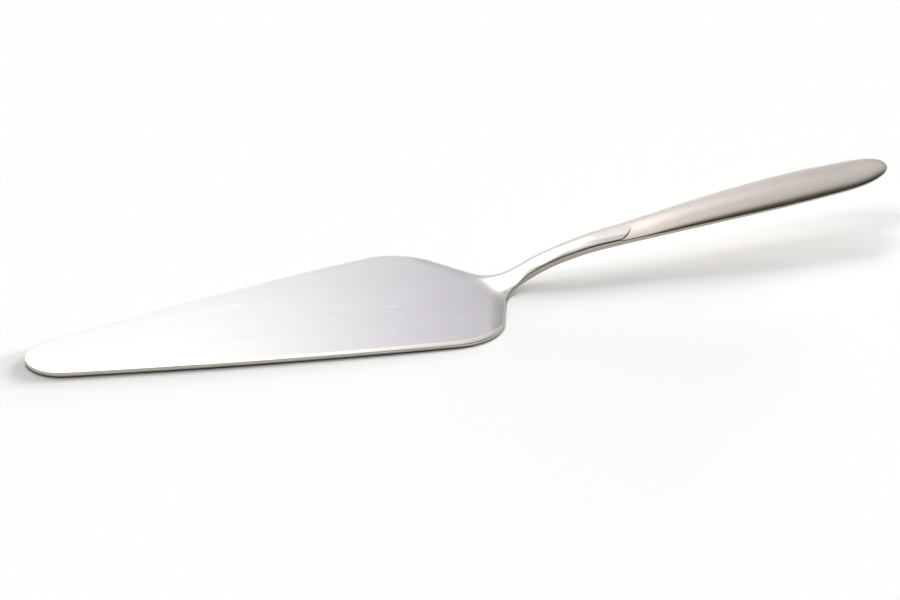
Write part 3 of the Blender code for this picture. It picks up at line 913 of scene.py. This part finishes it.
edge_tree = edge_steel.node_tree
edge_place = add(edge_tree, "ShaderNodeTexCoord").outputs["Object"]
edge_split = add(edge_tree, "ShaderNodeSeparateXYZ", links={"Vector": edge_place})
out_of_shade = add(edge_tree, "ShaderNodeMapRange", {"interpolation_type": "SMOOTHSTEP"},
              {"From Min": SHADE_DARKEST_BELOW, "From Max": SHADE_GONE_ABOVE},
              {"Value": edge_split.outputs["Z"]})
edge_colour = edge_tree.nodes["Principled BSDF"].inputs["Base Color"]
# mixes the painted shade into the side's tone
shaded_edge_tone = add(edge_tree, "ShaderNodeMix", {"data_type": "RGBA"}, {6: linear(PAINTED_SHADE_TONE)},
                {0: out_of_shade.outputs["Result"], 7: edge_colour.links[0].from_socket})
edge_tree.links.new(shaded_edge_tone.outputs[2], edge_colour)

for steel in (brushed, ground, bevel_steel, edge_steel):
    blade.data.materials.append(steel)
for shell in shells:
    for steel in (satin, ground):
        shell.data.materials.append(steel)
print("blade has", len(blade.data.materials), "finishes, each shell", len(shell.data.materials))

# %% [markdown]
# ## Cement
#
# The tang sits in a cement that was poured in as a paste and set. It is matt, grey
# and a little gritty. Nobody sees it while the handle is whole, so the CAD piece
# itself carries the finish.

# %% Cement
GRIT_HEIGHT = 0.1e-3

cement, cement_shader = new_material("set_cement", "AAA290", 0.9, 0.0)
cement_tree = cement.node_tree
# real grit of about 0.3 mm is drawn at 1 mm, so that it would show
grit = add(cement_tree, "ShaderNodeTexNoise",
           inputs={"Scale": 900.0, "Detail": 6.0, "Roughness": 0.7},
           links={"Vector": add(cement_tree, "ShaderNodeTexCoord").outputs["Object"]})
shade = add(cement_tree, "ShaderNodeMix", {"data_type": "RGBA"},
            {6: linear("8F8776"), 7: linear("BDB6A5")}, {0: grit.outputs["Fac"]})
cement_tree.links.new(shade.outputs[2], cement_shader.inputs["Base Color"])
crumbs = add(cement_tree, "ShaderNodeBump", inputs={"Strength": 1.0, "Distance": GRIT_HEIGHT},
             links={"Height": grit.outputs["Fac"]})
cement_tree.links.new(crumbs.outputs["Normal"], cement_shader.inputs["Normal"])
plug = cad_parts["tang_cement"]
plug.data.materials.clear()
plug.data.materials.append(cement)
print("cement is on", plug.name)

# %% [markdown]
# ## The table
#
# The server lies on a matt white sheet that runs out of the picture on all sides. It
# is so matt that it mirrors nothing, so it only takes up the light and the shadow.

# %% Table
TABLE_HALF = 6.0

table_bm = bmesh.new()
bmesh.ops.create_grid(table_bm, x_segments=1, y_segments=1, size=TABLE_HALF)
table_mesh = bpy.data.meshes.new("table")
table_bm.to_mesh(table_mesh)
table_bm.free()
table = bpy.data.objects.new("table", table_mesh)
bpy.context.scene.collection.objects.link(table)
table_white, table_shader = new_material("matt_white_table", "F8F8F7", 0.9, 0.0)
table_shader.inputs["Specular IOR Level"].default_value = 0.0
table.data.materials.append(table_white)
print("table is", 2 * TABLE_HALF, "m wide")

# %% [markdown]
# ## What the steel mirrors
#
# Bare steel has hardly a look of its own: it shows the room. Its tones in the
# photograph tell of a wide bright window, ahead and a little to the left, that gets
# dimmer to the right. So the room is drawn as the world around the server, by
# smooth scales over direction, and the steel takes its gradients from it. Flat
# light panels would put hard edges into the long, soft sheen of the handle.

# %% Room helpers
world = bpy.data.worlds.new("studio")
bpy.context.scene.world = world
world.use_nodes = True
sky = world.node_tree
look = add(sky, "ShaderNodeTexCoord").outputs["Generated"]


def heading(right_share, ahead_share, up_share):
    """A direction given by its shares to the camera's right, ahead and upwards."""
    return ground_right * right_share + ground_ahead * ahead_share + Vector((0, 0, up_share))


def towards(direction):
    """How far a view ray leans towards a direction, from -1 to 1."""
    lean = add(sky, "ShaderNodeVectorMath", {"operation": "DOT_PRODUCT"}, {1: direction},
               {0: look})
    return lean.outputs["Value"]


def graded(value, stops):
    """A smooth scale of greys or colours along a value, given as (value, level) stops."""
    first, last = stops[0][0], stops[-1][0]
    share = add(sky, "ShaderNodeMapRange", inputs={"From Min": first, "From Max": last},
                links={"Value": value})
    ramp = add(sky, "ShaderNodeValToRGB", links={"Fac": share.outputs["Result"]})
    elements = ramp.color_ramp.elements
    while len(elements) < len(stops):
        elements.new(0.5)
    for element, (place, level) in zip(elements, stops):
        colour = level if isinstance(level, tuple) else (level, level, level)
        element.position = (place - first) / (last - first)
        element.color = (*colour, 1)
    return ramp.outputs["Color"]


def blended(kind, a, b):
    """Two colours of the room put together in one of Blender's ways."""
    node = add(sky, "ShaderNodeMix", {"data_type": "RGBA", "blend_type": kind}, {0: 1.0},
               {6: a, 7: b})
    return node.outputs[2]


print("world:", world.name)

# %% [markdown]
# ## The window
#
# Three scales make the window. One goes across it, from left to right, with a faint
# green where it is bright and a faint lilac beside that, as the blade shows. One
# caps it near the horizon, where the far side of the handle looks. One lets it grow
# brighter with height.

# %% The window
GREENISH, LILAC = (0.99, 1.0, 0.975), (1.0, 0.98, 1.03)


def tinted(level, tint):
    return tuple(level * part for part in tint)


# sideways per way ahead: -1 is 45 degrees to the left of the camera's heading
bearing = add(sky, "ShaderNodeMath", {"operation": "DIVIDE"},
              links={0: towards(ground_right), 1: towards(ground_ahead)})
across = graded(bearing.outputs["Value"], (
    (-3, 0.40), (-1.2, 0.55), (-0.8, 0.99), (-0.158, tinted(0.99, GREENISH)),
    (-0.105, tinted(0.89, GREENISH)), (-0.075, tinted(0.80, GREENISH)),
    (-0.05, tinted(0.73, LILAC)), (-0.026, tinted(0.66, LILAC)), (0, tinted(0.58, LILAC)),
    (0.03, tinted(0.52, LILAC)), (0.052, 0.48), (0.105, 0.423), (0.158, 0.386), (0.213, 0.36),
    (0.325, 0.339), (0.445, 0.318), (0.577, 0.29), (0.727, 0.245), (1, 0.20)))

# by height, the sine of the elevation
height = towards(skyward)
horizon_cap = graded(height, (
    (0, 0.50), (0.242, 0.50), (0.292, 0.53), (0.342, 0.60), (0.375, 0.70), (0.407, 0.90),
    (0.438, 1.0)))
growth = graded(height, (
    (0, 0.74), (0.375, 0.73), (0.40, 0.72), (0.42, 0.82), (0.438, 0.85), (0.475, 0.86),
    (0.53, 0.97), (0.568, 1.0), (1, 1.0)))
window = blended("MULTIPLY", blended("DARKEN", across, horizon_cap), growth)
print("window is drawn with", len(sky.nodes), "nodes")

# %% [markdown]
# ## The rest of the room
#
# Behind the camera the room is a plain grey. The near side of the handle goes
# almost black along its foot, so something dark and warm, perhaps the photographer,
# stands to the right behind the camera. Something small and tan seems to hang high
# before the window: it shows on top of the neck's tip and on the handle beside it.
#
# The world is seen only in reflections. The table would otherwise take on its
# brightness as well, and the two could not be set one by one.

# %% The rest of the room
SKY_STRENGTH = 2.42
ROOM_GREY = (0.30, 0.30, 0.30, 1)
DARK_SPOT = heading(0.627, -0.527, 0.574)
HANGING_SPOT = heading(0.054, 0.689, 0.723)

# both spots are graded by the cosine of the angle from their middle
hanging = graded(towards(HANGING_SPOT), (
    (0.9903, 1.0), (0.9954, 0.92), (0.99813, (0.80, 0.78, 0.70)), (1.0, (0.72, 0.69, 0.58))))
window = blended("MULTIPLY", window, hanging)
before = graded(towards(ground_ahead), ((-0.1, 0.0), (0.05, 1.0)))
room = add(sky, "ShaderNodeMix", {"data_type": "RGBA"}, {6: ROOM_GREY}, {0: before, 7: window})
gloom = graded(towards(DARK_SPOT), (
    (0.2, 1.0), (0.42, 1.0), (0.45, 0.85), (0.49, 0.62), (0.53, 0.36), (0.58, 0.18),
    (0.66, (0.125, 0.12, 0.10)), (1.0, (0.10, 0.095, 0.08))))
background = sky.nodes["Background"]
sky.links.new(blended("MULTIPLY", room.outputs[2], gloom), background.inputs["Color"])
background.inputs["Strength"].default_value = SKY_STRENGTH
world.cycles_visibility.diffuse = False
print("room is drawn with", len(sky.nodes), "nodes, strength", SKY_STRENGTH)

# %% [markdown]
# ## Light on the table
#
# The same window and the ceiling throw the soft shadow. Seven wide lamps stand for
# them, far away, as suns with a large disc: low ones draw the long shadow, towards
# the camera and to its left, and high ones fill it up. The steel doesn't mirror them,
# because the room already holds what it mirrors. Each lamp's share says how much of
# the open table's light it gives, and the table is lit until it is nearly as white as
# in the photograph.

# %% Lamps over the table
TABLE_LEVEL = 1.06
SOFTBOXES = (  # name, degrees right of the heading, elevation, width of the disc, share
    ("right_window_low", 60, 8, 14, 0.186),
    ("right_window", 40, 20, 18, 0.146),
    ("back_window_low", 20, 8, 12, 0.10),
    ("back_window", 0, 44, 18, 0.128),
    ("back_ceiling", -30, 60, 18, 0.186),
    ("left_ceiling", -90, 68, 18, 0.072),
    ("front_ceiling", -134, 47, 20, 0.18),
)


def softbox(name, bearing_angle, elevation, spread, share):
    """A wide lamp that gives the table a share of its light."""
    turn, climb = math.radians(bearing_angle), math.radians(elevation)
    level = math.cos(climb)
    source = heading(math.sin(turn) * level, math.cos(turn) * level, math.sin(climb))
    lamp = bpy.data.objects.new(name, bpy.data.lights.new(name, "SUN"))
    bpy.context.scene.collection.objects.link(lamp)
    lamp.rotation_euler = source.to_track_quat("Z", "Y").to_euler()
    lamp.data.angle = math.radians(spread)
    lamp.data.energy = share * TABLE_LEVEL * math.pi / math.sin(climb)
    lamp.visible_glossy = False


for settings in SOFTBOXES:
    softbox(*settings)
bpy.context.scene.view_settings.view_transform = "Standard"
print(len(SOFTBOXES), "lamps, shares add up to", round(sum(s[-1] for s in SOFTBOXES), 3))
